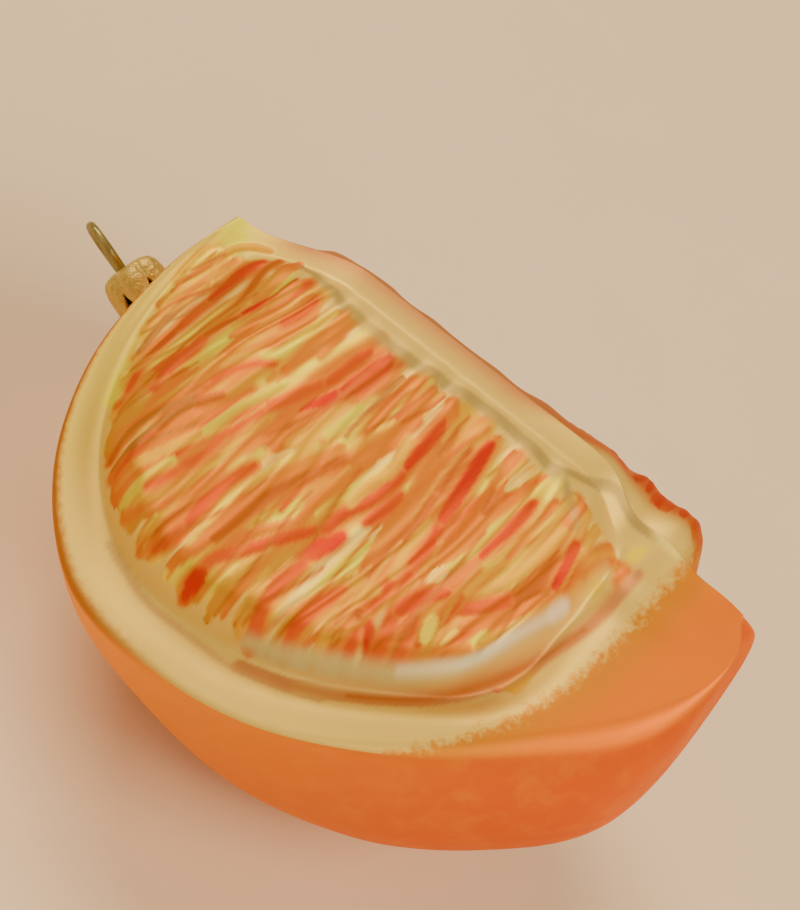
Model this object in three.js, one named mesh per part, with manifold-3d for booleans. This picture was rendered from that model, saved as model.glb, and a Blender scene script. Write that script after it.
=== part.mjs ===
// Blown-glass hanging ornament in the form of a quarter of an orange, lying on its rind.
// Three solids: the glass wedge with its moulded relief and neck, the metal crown cap that
// grips the neck, and the wire loop that stands in the cap. Millimetres, +Z up.
// The wedge is worked out in its own frame: x = away from the ridge in the shown cut face,
// y = along the ridge from the stem end to the blossom end, z = out of the shown cut face.
import * as THREE from 'three';
import { mergeVertices } from 'three/addons/utils/BufferGeometryUtils.js';
import Module from 'manifold-3d';

const wasm = await Module();
wasm.setup();

// ---- Driving dimensions ----
const ridgeLength = 70; // straight edge where the two cut faces meet
const wedgeAngle = THREE.MathUtils.degToRad(106); // between the two cut faces
// Outline of a cut face as [along the ridge, away from the ridge], stem end to blossom end.
const faceOutline = [
  [-35, 0],
  [-36.7, 10],
  [-35.5, 23.5],
  [-29.9, 35.6],
  [-20.3, 43.8],
  [-8.5, 45.3],
  [3.6, 43],
  [16.3, 35.8],
  [26.5, 26.6],
  [34, 17.7],
  [36.6, 8],
  [35, 0],
];
const bellyAtStem = -0.13; // how far the rind swells past a round section, as a share
const bellyAtBlossom = 0.99;
const bellyPower = 2.4; // the swelling grows towards the blossom end with this power
const blossomBulge = 2.6; // the blossom end of the rind reaches this far past its rim
const blossomBulgeFrom = 0.6; // station where that bulge begins
const blossomBulgeFade = 0.15; // share of the stations over which it dies out at the corner

const beadHeight = 4.1; // rounded pith core along the ridge
const beadBase = 0.5; // what is left of it where the core has run out
const beadHalfWidth = 3.3;
const beadStart = -34; // along the ridge
const beadEnd = 29;
const beadRamp = 15;
const turnWidth = 7; // over this width the relief turns from the ridge's direction to the face's
const web = { height: 1.5, away: 3.2, halfWidth: 2.2 }; // pith between the core and the pulp
const hollow = { along: 18.5, away: 1.6, radius: 3.6, depth: 2.6 }; // dent where the core forks
const fork = { height: 1.2, away: 6.4, halfWidth: 1.8, reach: 7 }; // raised arm beside the dent

const pulpHeight = 5.2; // pillow of juice sacs on each cut face
const pulpExtra = [0, 1.3]; // how much higher the pulp of each face grows
const pulpExtraStart = -6; // along the ridge, where that extra height begins
const pulpExtraRamp = 20;
const pulpFromRidge = 2.6;
const pulpRiseAtRidge = 5;
const pulpRiseAtRim = 5.5;
const pulpFullness = 0.8; // under 1 the pillow's flanks are fuller than a quarter wave
const pulpStart = -33; // along the ridge, where the pulp begins to rise
const pulpStartRamp = 10;
const pulpEnd = [20.5, 28.2]; // along the ridge, where the pulp of each face stops
const pulpCornerBlend = 6;
const pithWidth = 6.2; // plain border between pulp and rind at the stem end
const pithExtra = 3; // and how much wider it is towards the blossom end
const pithExtraFrom = 0.4; // station where the border begins to widen
const pithExtraRamp = 0.3;
const grooveDepth = 1.1; // furrow around the pulp
const grooveHalfWidth = 2.2;
const grooveOffset = 0.6; // outside the pulp's edge
const grooveFadeAtRidge = 12;
const grooveFadeAtRim = 3;
const endFade = 0.06; // share of the stations over which the relief dies out at both corners

const sac = {
  amplitude: 0.55, // ridges of the juice sacs
  count: [27, 15], // on each cut face
  sway: 0.9, // how far a ridge wanders sideways, in radians of its wave
  swayAlong: 5,
  swayAcross: 3,
  even: 0.7,
  uneven: 0.5, // some ridges are this much higher or lower
  unevenCount: 7,
};

const neckRadius = 2.3;
const neckFlare = 1.3; // how much wider the neck is at its root
const neckFromRidge = 15.6; // along the middle plane of the wedge
const neckAtRidge = -36.1; // where the neck's root lies along the ridge direction
const neckTilt = THREE.MathUtils.degToRad(19); // the neck points through the wedge's middle
const neckRoot = 6; // part of the neck that is sunk in the wedge
// Where the neck ends its flare, as [share of the flare left, above the neck's root].
const neckFlareEnd = [
  [1, -0.4],
  [0.4, 0.7],
  [0, 1.9],
];
const neckChamfer = 0.4; // at the neck's open end

const gap = 0.3; // clearance between pieces that touch
const capTop = 7.1; // above the neck's root
const capHeight = 4.9;
const capRadius = 3.3; // outside, between the petals
const capWall = 0.5;
const capRoof = 0.6; // thickness of the cap's top
const boreTaper = 0.5; // the cap's inside is this much narrower under its top
// Side of the cap as [past the radius, share of the height], from its lower edge up.
const capProfile = [
  [0, 0],
  [0.15, 0.18],
  [0.15, 0.4],
  [0.1, 0.6],
  [-0.1, 0.8],
  [-0.5, 0.94],
  [-1.2, 1],
];
const petalCount = 6;
const petalBulge = 0.55;
const petalValley = 0.4; // share of the bulge's wave that lies under the cap's radius
const petalFade = 1.6; // the bulge dies out over this distance towards the cap's top
const notchHeight = 2.6; // notch between the round ends of two petals
const notchHalfWidth = 1.6;
const notchDepth = 3;

const wireDiameter = 1.05;
const legSpread = 1.6; // a leg's distance from the middle where it passes the cap's top
const legBack = 0.5; // the legs pass the cap's top this far behind its middle
const loopHalfWidth = 2.5;
const loopHeight = 5.9; // above the cap's top
const loopTwist = THREE.MathUtils.degToRad(9); // the loop is turned a little in the cap
const loopFacing = [0.4, 0, 0.9]; // the loop's width lies nearest to this direction
// Half of the loop as [share of the half width, share of the height].
const loopProfile = [
  [0.93, 0.42],
  [0.84, 0.76],
  [0.45, 0.96],
];

const restLean = THREE.MathUtils.degToRad(26); // shown face leans this far towards the front
const restDip = THREE.MathUtils.degToRad(8); // the stem end lies this much lower
const ridgeHeight = 47.3; // middle of the ridge above the floor
const ridgeBack = 1.8; // and behind the middle of the flat spot
const ridgeRight = -3.1; // and to its right

// ---- Mesh resolution ----
const stations = 96; // along the ridge
const faceRows = 20;
const rindRows = 12;
const rowCrowding = 0.11; // draws the rows of a face towards the ridge and the rim
const petalSteps = 8;
const neckSegments = 24;
const boreSegments = 24;
const holeSegments = 12;
const notchSegments = 4;
const loopSteps = 32;
const wireSegments = 5; // on each quarter of the wire's section
const mergeDistance = 1e-4;

// ---- Small helpers ----
const clamp01 = (value) => Math.min(1, Math.max(0, value));

function smooth(value) {
  const t = clamp01(value);
  return t * t * (3 - 2 * t);
}

function bell(distance, halfWidth) {
  return Math.exp(-((distance / halfWidth) ** 2));
}

// Rises from 0 to 1 like the first quarter of a sine wave.
function quarterWave(value) {
  return Math.sin((Math.PI / 2) * clamp01(value));
}

function smoothMin(a, b, blend) {
  const share = clamp01(0.5 + (0.5 * (b - a)) / blend);
  return b + (a - b) * share - blend * share * (1 - share);
}

// ---- Shape of the wedge ----
const outlineCurve = new THREE.SplineCurve(faceOutline.map(([y, x]) => new THREE.Vector2(x, y)));
outlineCurve.arcLengthDivisions = 2000;

// Point on the ridge that faces the outline's point at the same station.
function ridgePoint(u) {
  return new THREE.Vector2(0, (-ridgeLength / 2) * Math.cos(Math.PI * u));
}

function juiceSacs(u, share, side) {
  const phase = 2 * side;
  const sway = sac.sway * Math.sin(sac.swayAlong * u + sac.swayAcross * share + phase);
  const wave = Math.sin(2 * Math.PI * sac.count[side] * u + sway + phase);
  const uneven = sac.even + sac.uneven * Math.sin(2 * Math.PI * sac.unevenCount * u + 2 * phase);
  return sac.amplitude * uneven * wave;
}

// Height of the relief over the flat cut face, at a station and a share of the way to the rim.
function reliefHeight(u, share, side) {
  const ridge = ridgePoint(u);
  const rim = outlineCurve.getPointAt(u);
  const length = ridge.distanceTo(rim);
  const fromRidge = share * length;
  const fromRim = length - fromRidge;
  const along = ridge.y + (rim.y - ridge.y) * share;

  const border = pithWidth + pithExtra * smooth((u - pithExtraFrom) / pithExtraRamp);
  const inside = smoothMin(fromRim - border, pulpEnd[side] - along, pulpCornerBlend);
  const nearRidge = quarterWave((fromRidge - pulpFromRidge) / pulpRiseAtRidge);
  const nearRim = quarterWave(inside / pulpRiseAtRim);
  const stemRamp = smooth((along - pulpStart) / pulpStartRamp);
  const pillow = (nearRidge * nearRim) ** pulpFullness * stemRamp;
  const extra = pulpExtra[side] * smooth((along - pulpExtraStart) / pulpExtraRamp);
  const pulp = pillow * (pulpHeight + extra + juiceSacs(u, share, side));

  const furrow = bell(inside + grooveOffset, grooveHalfWidth) * smooth(fromRidge / grooveFadeAtRidge);
  const groove = -grooveDepth * furrow * smooth(fromRim / grooveFadeAtRim);

  const coreStretch = smooth((along - beadStart) / beadRamp) * smooth((beadEnd - along) / beadRamp);
  const bead = (beadBase + beadHeight * coreStretch) * bell(fromRidge, beadHalfWidth);
  const pith = web.height * coreStretch * bell(fromRidge - web.away, web.halfWidth) * (1 - pillow);
  const dentReach = bell(along - hollow.along, hollow.radius);
  const dent = -hollow.depth * dentReach * bell(fromRidge - hollow.away, hollow.radius);
  const armReach = bell(along - hollow.along, fork.reach) * (1 - pillow);
  const arm = fork.height * armReach * bell(fromRidge - fork.away, fork.halfWidth);

  return pulp + groove + bead + pith + arm + dent;
}

const middleOut = new THREE.Vector3(-Math.cos(wedgeAngle / 2), 0, Math.sin(wedgeAngle / 2));

// A point of one cut face. side 0 is the shown face and side 1 the other one.
function facePoint(u, share, side) {
  const ridge = ridgePoint(u);
  const rim = outlineCurve.getPointAt(u);
  const flat = ridge.clone().lerp(rim, share);
  const ends = smooth(u / endFade) * smooth((1 - u) / endFade);
  const height = reliefHeight(u, share, side) * ends;
  const turn = smooth(1 - (share * ridge.distanceTo(rim)) / turnWidth);
  const faceOut = new THREE.Vector3(0, 0, 1);
  const away = new THREE.Vector3(1, 0, 0);
  if (side === 1) {
    faceOut.set(-Math.sin(wedgeAngle), 0, -Math.cos(wedgeAngle));
    away.set(Math.cos(wedgeAngle), 0, -Math.sin(wedgeAngle));
  }
  const out = faceOut.lerp(middleOut, turn).normalize();
  return away.multiplyScalar(flat.x).add(new THREE.Vector3(0, flat.y, 0)).addScaledVector(out, height);
}

// A point of the rind, turned about the ridge from the shown face's rim by a share of the angle.
function rindPoint(u, share) {
  const rim = outlineCurve.getPointAt(u);
  const belly = bellyAtStem + (bellyAtBlossom - bellyAtStem) * u ** bellyPower;
  const swell = Math.sin(Math.PI * share);
  const radius = rim.x * (1 + belly * swell);
  const bulgeRamp = smooth((u - blossomBulgeFrom) / (1 - blossomBulgeFrom));
  const bulge = blossomBulge * swell * bulgeRamp * smooth((1 - u) / blossomBulgeFade);
  const angle = share * wedgeAngle;
  return new THREE.Vector3(radius * Math.cos(angle), rim.y + bulge, -radius * Math.sin(angle));
}

// Rows over a cut face, closer together at the ridge and at the rim.
function rowShare(row) {
  const t = row / faceRows;
  return t - rowCrowding * Math.sin(2 * Math.PI * t);
}

function sectionPoints(u) {
  const points = [];
  for (let row = 0; row <= faceRows; row++) points.push(facePoint(u, rowShare(row), 0));
  for (let row = 1; row < rindRows; row++) points.push(rindPoint(u, row / rindRows));
  for (let row = faceRows; row >= 1; row--) points.push(facePoint(u, rowShare(row), 1));
  return points;
}

// Skin of the wedge: closed sections from the stem corner to the blossom corner.
function wedgeGeometry() {
  const positions = [];
  const indices = [];
  const corner = (y) => positions.push(0, y, 0);
  corner(-ridgeLength / 2);
  let ring = 0;
  for (let i = 1; i < stations; i++) {
    const points = sectionPoints(i / stations);
    ring = points.length;
    for (const point of points) positions.push(point.x, point.y, point.z);
  }
  corner(ridgeLength / 2);
  const last = positions.length / 3 - 1;
  const at = (i, j) => 1 + (i - 1) * ring + (j % ring);
  for (let j = 0; j < ring; j++) {
    indices.push(0, at(1, j + 1), at(1, j));
    indices.push(last, at(stations - 1, j), at(stations - 1, j + 1));
    for (let i = 1; i < stations - 1; i++) {
      indices.push(at(i, j), at(i + 1, j + 1), at(i + 1, j));
      indices.push(at(i, j), at(i, j + 1), at(i + 1, j + 1));
    }
  }
  const geometry = new THREE.BufferGeometry();
  geometry.setAttribute('position', new THREE.Float32BufferAttribute(positions, 3));
  geometry.setIndex(indices);
  return geometry;
}

// ---- Joining and cutting ----
function toSolid(geometry) {
  const bare = geometry.clone();
  bare.deleteAttribute('normal');
  bare.deleteAttribute('uv');
  const merged = mergeVertices(bare, mergeDistance);
  return new wasm.Manifold(
    new wasm.Mesh({
      numProp: 3,
      vertProperties: new Float32Array(merged.attributes.position.array),
      triVerts: new Uint32Array(merged.index.array),
    }),
  );
}

function toGeometry(solid) {
  const mesh = solid.getMesh();
  const geometry = new THREE.BufferGeometry();
  geometry.setAttribute('position', new THREE.BufferAttribute(mesh.vertProperties, 3));
  geometry.setIndex(new THREE.BufferAttribute(mesh.triVerts, 1));
  geometry.computeVertexNormals();
  return geometry;
}

// ---- Places of the neck and of the resting wedge ----
// The neck's own frame has +Z along the neck and +X where the loop's width lies.
const neckAxis = new THREE.Vector3(0, -1, 0).multiplyScalar(Math.cos(neckTilt));
neckAxis.addScaledVector(middleOut, Math.sin(neckTilt));
const loopAcross = new THREE.Vector3(...loopFacing);
loopAcross.addScaledVector(neckAxis, -loopAcross.dot(neckAxis)).normalize();
const neckBasis = new THREE.Matrix4().makeBasis(
  loopAcross,
  new THREE.Vector3().crossVectors(neckAxis, loopAcross),
  neckAxis,
);
const neckFrame = new THREE.Matrix4()
  .makeTranslation(middleOut.clone().multiplyScalar(-neckFromRidge).setY(neckAtRidge))
  .multiply(neckBasis);

// Rest: the ridge runs along X, the shown face looks up and to the front.
const restBasis = new THREE.Matrix4().makeBasis(
  new THREE.Vector3(0, -Math.cos(restLean), -Math.sin(restLean)),
  new THREE.Vector3(1, 0, 0),
  new THREE.Vector3(0, -Math.sin(restLean), Math.cos(restLean)),
);
const restFrame = new THREE.Matrix4()
  .makeTranslation(ridgeRight, ridgeBack, ridgeHeight)
  .multiply(new THREE.Matrix4().makeRotationY(-restDip))
  .multiply(restBasis);
const capFrame = restFrame.clone().multiply(neckFrame);

// ---- Glass wedge with its neck, flat where it rests ----
function glassWedge() {
  const neckTop = capTop - capRoof - gap;
  const flare = neckFlareEnd.map(
    ([share, up]) => new THREE.Vector2(neckRadius + share * neckFlare, up),
  );
  const neck = new THREE.LatheGeometry(
    [
      new THREE.Vector2(0, -neckRoot),
      new THREE.Vector2(neckRadius + neckFlare, -neckRoot),
      ...flare,
      new THREE.Vector2(neckRadius, neckTop - neckChamfer),
      new THREE.Vector2(neckRadius - neckChamfer, neckTop),
      new THREE.Vector2(0, neckTop),
    ],
    neckSegments,
  );
  neck.rotateX(Math.PI / 2);
  neck.applyMatrix4(capFrame);
  const skin = wedgeGeometry();
  skin.applyMatrix4(restFrame);
  const wide = 4 * ridgeLength;
  const below = new THREE.BoxGeometry(wide, wide, ridgeHeight);
  below.translate(0, 0, -ridgeHeight / 2);
  return toGeometry(toSolid(skin).add(toSolid(neck)).subtract(toSolid(below)));
}

// ---- Crown cap: a thin cup of broad petals with a rounded notch between each two ----
function crownCap() {
  const bottom = capTop - capHeight;
  const side = capProfile.map(
    ([past, share]) => new THREE.Vector2(capRadius + past, bottom + share * capHeight),
  );
  const outer = new THREE.LatheGeometry(
    [new THREE.Vector2(0, bottom), ...side, new THREE.Vector2(0, capTop)],
    petalCount * petalSteps,
  );
  outer.rotateX(Math.PI / 2);
  const place = outer.attributes.position;
  for (let i = 0; i < place.count; i++) {
    const radius = Math.hypot(place.getX(i), place.getY(i));
    const angle = Math.atan2(place.getY(i), place.getX(i));
    const petal = Math.abs(Math.cos((petalCount * angle) / 2)) - petalValley;
    const reach = smooth((radius - capRadius + petalFade) / petalFade);
    const swell = 1 + (petalBulge * petal * reach) / capRadius;
    place.setXY(i, place.getX(i) * swell, place.getY(i) * swell);
  }
  const inside = capRadius - capWall;
  const bore = new THREE.CylinderGeometry(inside - boreTaper, inside, capHeight, boreSegments);
  bore.rotateX(Math.PI / 2);
  bore.translate(0, 0, capTop - capRoof - capHeight / 2);
  let cap = toSolid(outer).subtract(toSolid(bore));

  const outline = new THREE.Shape();
  outline.moveTo(-notchHalfWidth, -gap);
  outline.quadraticCurveTo(-notchHalfWidth / 2, notchHeight / 2, 0, notchHeight);
  outline.quadraticCurveTo(notchHalfWidth / 2, notchHeight / 2, notchHalfWidth, -gap);
  for (let k = 0; k < petalCount; k++) {
    const notch = new THREE.ExtrudeGeometry(outline, {
      depth: notchDepth,
      curveSegments: notchSegments,
      bevelEnabled: false,
    });
    notch.translate(0, 0, inside - notchDepth / 2);
    notch.rotateX(Math.PI / 2);
    notch.rotateZ((k * 2 * Math.PI) / petalCount);
    notch.translate(0, 0, bottom);
    cap = cap.subtract(toSolid(notch));
  }
  const holeRadius = wireDiameter / 2 + gap;
  for (const leg of [-legSpread, legSpread]) {
    const hole = new THREE.CylinderGeometry(holeRadius, holeRadius, 4 * capRoof, holeSegments);
    hole.rotateX(Math.PI / 2);
    hole.translate(leg, -legBack, capTop);
    hole.rotateZ(loopTwist);
    cap = cap.subtract(toSolid(hole));
  }
  const geometry = toGeometry(cap);
  geometry.applyMatrix4(capFrame);
  return geometry;
}

// ---- Wire loop: two legs through the cap's top and a low round bow ----
function wireLoop() {
  const bow = loopProfile.map(([across, up]) => [across * loopHalfWidth, up * loopHeight]);
  const half = [[legSpread, -capRoof], [legSpread, gap], ...bow];
  const rise = half.map(([x, z]) => new THREE.Vector3(-x, -legBack, capTop + z));
  const fall = half.map(([x, z]) => new THREE.Vector3(x, -legBack, capTop + z)).reverse();
  const crest = new THREE.Vector3(0, -legBack, capTop + loopHeight);
  const section = new THREE.Shape();
  section.absarc(0, 0, wireDiameter / 2, 0, 2 * Math.PI, false);
  const geometry = new THREE.ExtrudeGeometry(section, {
    steps: loopSteps,
    curveSegments: wireSegments,
    extrudePath: new THREE.CatmullRomCurve3([...rise, crest, ...fall]),
    bevelEnabled: false,
  });
  geometry.rotateZ(loopTwist);
  geometry.applyMatrix4(capFrame);
  return geometry;
}

function addPiece(group, name, geometry, look) {
  const mesh = new THREE.Mesh(geometry, new THREE.MeshStandardMaterial(look));
  mesh.name = name;
  group.add(mesh);
  return mesh;
}

const ornament = new THREE.Group();
addPiece(ornament, 'glass_wedge', glassWedge(), { color: 0xf39a45, roughness: 0.35, metalness: 0.1 });
addPiece(ornament, 'crown_cap', crownCap(), { color: 0xc9a24b, roughness: 0.45, metalness: 0.9 });
addPiece(ornament, 'wire_loop', wireLoop(), { color: 0x8a7a3c, roughness: 0.4, metalness: 0.9 });

export default ornament;
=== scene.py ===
import bpy
import math
import numpy as np
from mathutils import Matrix, Vector


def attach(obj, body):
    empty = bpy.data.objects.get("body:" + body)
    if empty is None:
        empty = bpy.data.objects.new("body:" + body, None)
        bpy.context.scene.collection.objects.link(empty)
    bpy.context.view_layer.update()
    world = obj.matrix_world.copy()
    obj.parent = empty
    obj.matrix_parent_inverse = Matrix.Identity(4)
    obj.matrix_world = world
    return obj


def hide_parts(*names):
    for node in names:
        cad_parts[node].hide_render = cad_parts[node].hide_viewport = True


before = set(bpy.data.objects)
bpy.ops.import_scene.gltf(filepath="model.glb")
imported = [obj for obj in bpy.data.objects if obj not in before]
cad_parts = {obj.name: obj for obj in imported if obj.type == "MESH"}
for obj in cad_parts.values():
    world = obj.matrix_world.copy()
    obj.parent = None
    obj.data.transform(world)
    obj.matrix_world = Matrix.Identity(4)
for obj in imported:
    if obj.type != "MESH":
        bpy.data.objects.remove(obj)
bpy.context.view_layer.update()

# ---------------------------------------------------------------------------------------------
# Glass quarter: one thin blown shell, silvered inside and painted outside. The relief of both
# cut faces and the rind come from the mould; the strokes of juice are painted on by hand.
# It carries the neck with the cap, and lies on the lowest part of the rind.
# ---------------------------------------------------------------------------------------------
MM = 0.001
RIDGE_LENGTH = 70.0
WEDGE_ANGLE = math.radians(106)
# Outline of a cut face as (along the ridge, away from the ridge), stem end to blossom end.
FACE_OUTLINE = np.array([
    (-35, 0), (-36.7, 10), (-35.5, 23.5), (-29.9, 35.6), (-20.3, 43.8), (-8.5, 45.3),
    (3.6, 43), (16.3, 35.8), (26.5, 26.6), (34, 17.7), (36.6, 8), (35, 0),
])
STATIONS = 360  # mesh lines along the ridge
SHOWN_ROWS, RIND_ROWS, FAR_ROWS = 148, 56, 64
FACE_CROWDING, RIND_CROWDING = 0.06, 0.13  # draw the rows towards the ridge and the rim
STEM_RIM_ROUNDING, BLOSSOM_RIM_ROUNDING = 0.9, 4.4
# Pairs are for the shown face and the far face.
PULP_END = (20.5, 28.2)  # where the pulp stops towards the blossom end
PULP_START, PULP_RISE = (2.0, 1.2), (5.5, 7.5)  # from the ridge outwards
PULP_HEIGHT, PULP_SLOPE = 5.2, 5.5
FAR_SWELLING = (0, 1.3)
SAC_WAVES, SAC_HEIGHT, SAC_BEND, SAC_SLANT = (27, 15), (0.4, 0.3), (1.5, 0), (5, 0)
CORE_BEAD, CORE_BEAD_WIDTH = 4.1, 3.3
FORK_PLACE = 18.5  # along the ridge, where the core's line forks
RIND_TAPER, RIND_GROWTH, RIND_GROWTH_POWER = -0.13, 1.12, 2.4
RIND_BULGE = 2.6
PAINT_HEIGHT = 0.12
CORNER_PUSH, CORNER_REACH = 0.8, 4.5  # the mould rounds the blossom end of the ridge off
MIDDLE_OUT = np.array((-math.cos(WEDGE_ANGLE / 2), 0, math.sin(WEDGE_ANGLE / 2)))


def smooth(value):
    t = np.clip(value, 0, 1)
    return t * t * (3 - 2 * t)


def bell(distance, half_width):
    return np.exp(-((distance / half_width) ** 2))


def quarter_wave(value):
    return np.sin(np.pi / 2 * np.clip(value, 0, 1))


def smooth_min(a, b, blend):
    share = np.clip(0.5 + 0.5 * (b - a) / blend, 0, 1)
    return b + (a - b) * share - blend * share * (1 - share)


def through(corners, t):
    """Points of the smooth curve through all corners, at curve parameters t from 0 to 1."""
    last = len(corners) - 1
    place = last * t
    i = np.clip(np.floor(place).astype(int), 0, last)
    w = (place - i)[..., None]
    here, there = corners[i], corners[np.minimum(i + 1, last)]
    leave = (there - corners[np.maximum(i - 1, 0)]) / 2
    arrive = (corners[np.minimum(i + 2, last)] - here) / 2
    cubic = (2 * here - 2 * there + leave + arrive) * w**3
    return cubic + (3 * there - 3 * here - 2 * leave - arrive) * w**2 + leave * w + here


steps = np.linspace(0, 1, 2001)
walked = np.linalg.norm(np.diff(through(FACE_OUTLINE, steps), axis=0), axis=1)
walked = np.concatenate(([0], np.cumsum(walked)))


def rim_at(u):
    return through(FACE_OUTLINE, np.interp(u * walked[-1], walked, steps))


def border_width(u):
    """Width of the pith between the pulp and the rim."""
    return 6.2 + 3 * smooth((u - 0.4) / 0.3)


def face_measures(u, share, side):
    """Where a point of a cut face lies: distances in millimetres that relief and paint follow."""
    ridge = -RIDGE_LENGTH / 2 * np.cos(np.pi * u)
    rim = rim_at(u)
    length = np.hypot(rim[..., 1], rim[..., 0] - ridge)
    from_ridge = share * length
    from_rim = length - from_ridge
    along = ridge + (rim[..., 0] - ridge) * share
    inside = smooth_min(from_rim - border_width(u), PULP_END[side] - along, 6)
    away = rim[..., 1] * share
    return along, away, from_ridge, from_rim, inside


def relief(u, share, side):
    """Height of the moulded relief over the flat cut face."""
    along, away, from_ridge, from_rim, inside = face_measures(u, share, side)
    phase = 2 * side
    sway = 0.9 * np.sin(5 * u + 3 * share + phase) + SAC_BEND[side] * np.sin(15 * u + 7 * share)
    wave = np.sin(2 * np.pi * SAC_WAVES[side] * u + sway + phase)
    uneven = 0.7 + 0.5 * np.sin(44 * u + 2 * phase + SAC_SLANT[side] * share)
    sacs = SAC_HEIGHT[side] * uneven * wave
    near_ridge = quarter_wave((from_ridge - PULP_START[side]) / PULP_RISE[side])
    pillow = smooth(near_ridge * quarter_wave(inside / PULP_SLOPE)) ** 0.7
    pillow = pillow * smooth((along + 33) / 10)
    taller = FAR_SWELLING[side] * smooth((along + 6) / 20) * smooth((38 - along) / 18)
    pulp = pillow * (PULP_HEIGHT + taller + sacs)
    # A groove runs round the pulp and dies out at the ridge and at the rim.
    groove = -(0.5 + 0.6 * smooth((along + 12) / 20)) * bell(inside + 0.6, 2.2)
    groove = groove * smooth(from_ridge / 12) * smooth(from_rim / 3)
    # The core: a bead on the ridge with pith beside it, dented and forked near the blossom end.
    core = smooth((along + 34) / 15) * smooth((29 - along) / 15)
    bead = (0.5 + CORE_BEAD * core) * bell(from_ridge, CORE_BEAD_WIDTH)
    pith = 1.5 * core * bell(from_ridge - 3.2, 2.2) * (1 - pillow)
    dent = -2.6 * bell(along - FORK_PLACE, 3.6) * bell(from_ridge - 1.6, 3.6)
    arm = 1.2 * bell(along - FORK_PLACE, 7) * (1 - pillow) * bell(from_ridge - 6.4, 1.8)
    ends = smooth(u / 0.06) * smooth((1 - u) / 0.06)
    return (pulp + groove + bead + pith + arm + dent) * ends


def face_points(u, share, side, raised=0):
    """Points of a cut face in the wedge's frame: away from the ridge, along it, out of the face."""
    along, away, from_ridge = face_measures(u, share, side)[:3]
    height = relief(u, share, side) + raised
    turn = smooth(1 - from_ridge / 7)[..., None]
    sine, cosine = math.sin(WEDGE_ANGLE), math.cos(WEDGE_ANGLE)
    out = np.array(((0, 0, 1), (-sine, 0, -cosine))[side])
    outward = np.array(((1, 0, 0), (cosine, 0, -sine))[side])
    out = out * (1 - turn) + MIDDLE_OUT * turn
    out = out / np.linalg.norm(out, axis=-1, keepdims=True)
    points = outward * away[..., None] + out * height[..., None]
    points[..., 1] += along
    return points


def rind_points(u, share):
    """Points of the rind in the wedge's frame, from the shown face's rim to the far face's."""
    rim = rim_at(u)
    swell = np.sin(np.pi * share)
    radius = rim[..., 1] * (1 + (RIND_TAPER + RIND_GROWTH * u**RIND_GROWTH_POWER) * swell)
    bulge = RIND_BULGE * swell * smooth((u - 0.6) / 0.4) * smooth((1 - u) / 0.15)
    angle = share * WEDGE_ANGLE
    return np.stack((radius * np.cos(angle), rim[..., 0] + bulge, -radius * np.sin(angle)), -1)


# The paints, as linear colours.
PAINTS = {
    "scarlet": (0.600, 0.012, 0.002), "vermilion": (0.650, 0.055, 0.002),
    "rust": (0.480, 0.105, 0.010), "coral": (0.680, 0.080, 0.003),
    "salmon": (0.760, 0.180, 0.004), "tangerine": (0.740, 0.190, 0.003),
    "orange": (0.720, 0.200, 0.003), "ochre": (0.640, 0.300, 0.006),
    "amber": (0.800, 0.430, 0.003), "lime": (0.760, 0.700, 0.003),
    "lemon": (0.950, 0.760, 0.006), "peach": (0.880, 0.450, 0.010),
    "brown": (0.400, 0.160, 0.025), "mauve_groove_shade": (0.640, 0.400, 0.110),
    "painted_highlight_white": (1.000, 1.000, 0.800), "shade": (0.480, 0.350, 0.100),
    "grey": (0.660, 0.640, 0.270), "cream": (1.000, 0.800, 0.170),
    "groove": (0.640, 0.270, 0.080), "olive_groove_shade": (0.600, 0.480, 0.085),
    "pith": (0.840, 0.610, 0.120),
}
# Soft tints under the strokes: paint, width, softness, and the way of the brush over the shown
# face as (along the ridge, away from the ridge). The lime is the pith's own tint; the olive and
# mauve lines are painted shade along the groove round the pulp.
SHADES = [
    ("lime", 2.6, 1.4, [(-34.0, 1.0), (-32.8, 4.0)]),
    ("lime", 1.2, 1.1, [(-33.6, 4.0), (-32.6, 9.3), (-32.8, 16.3), (-31.8, 22.2), (-31.0, 25.4)]),
    # Painted shade: the olive and mauve lines darken the groove.
    ("olive_groove_shade", 0.7, 0.6, [(-31.6, 3.6), (-31.4, 11.2), (-31.8, 16.3), (-30.8, 22.5)]),
    ("mauve_groove_shade", 0.7, 0.9, [(-20.5, 37.6), (-13.9, 39.8), (-7.0, 39.8), (-1.8, 39.3), (6.4, 36.4)]),
]
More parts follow.
